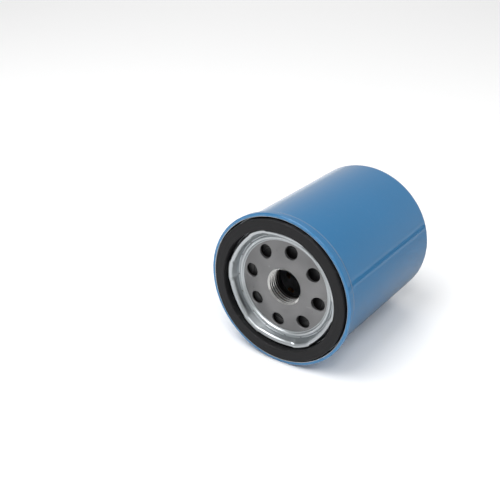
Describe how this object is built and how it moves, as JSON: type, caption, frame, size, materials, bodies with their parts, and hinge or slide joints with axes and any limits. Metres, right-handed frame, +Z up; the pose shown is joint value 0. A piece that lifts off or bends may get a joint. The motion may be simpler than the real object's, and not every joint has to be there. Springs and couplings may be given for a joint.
{
  "type": "oil filter",
  "caption": "Spin-on engine oil filter: drawn can with a rolled seam, rubber ring in a lid channel, threaded tapping plate with inlet holes, paper element and valves inside.",
  "frame": {"origin": "centre of the threaded hole's mouth, on the tapping plate's outer face", "axes": "-Y along the thread, out of the mounting end; +Y towards the dome; +Z up as the filter lies on its side"},
  "size_m": [0.0798, 0.0924, 0.0798],
  "materials": {
    "blue_paint": "gloss paint over drawn steel sheet",
    "zinc_lid": "bright zinc-plated sheet",
    "plate_steel": "matte grey phosphated steel",
    "gasket_rubber": "satin black moulded rubber",
    "valve_rubber": "matte black moulded rubber",
    "seam_compound": "cured sealing compound",
    "weld_steel": "as welded",
    "cap_steel": "tin-plated sheet",
    "tube_steel": "bright perforated sheet",
    "filter_paper": "resin-treated paper",
    "adhesive": "cured adhesive",
    "valve_steel": "bright turned and pressed steel",
    "spring_steel": "drawn spring wire"
  },
  "bodies": {
    "filter": {"can_shell": "blue_paint", "seaming_lid": "zinc_lid", "tapping_plate": "plate_steel", "base_gasket": "gasket_rubber", "seam_sealant": "seam_compound", "projection_welds": "weld_steel", "element_gasket": "valve_rubber", "lower_end_cap": "cap_steel", "lower_potting": "adhesive", "centre_tube": "tube_steel", "pleated_media": "filter_paper", "media_seam_clip": "tube_steel", "upper_potting": "adhesive", "upper_end_cap": "cap_steel", "bypass_seat": "valve_steel", "bypass_cage": "valve_steel", "bypass_spring": "spring_steel", "spring_plate": "cap_steel", "support_spring": "spring_steel"},
    "bypass_valve": {"bypass_disc": "valve_steel", "bypass_seal": "valve_rubber", "bypass_stem": "valve_steel", "bypass_stem_clip": "spring_steel"},
    "drain_valve": {"anti_drain_valve": "valve_rubber"}
  },
  "joints": [
    {"name": "bypass_lift", "type": "slide", "parent": "filter", "child": "bypass_valve", "axis": [0, -1, 0], "range_m": [0, 0.0035], "stiffness_N_per_m": 3000, "springref_m": -0.006, "deforming": ["bypass_spring"]},
    {"name": "drain_valve_lift", "type": "slide", "parent": "filter", "child": "drain_valve", "axis": [0, 1, 0], "range_m": [0, 0.0015], "stiffness_N_per_m": 250, "springref_m": -0.001}
  ]
}
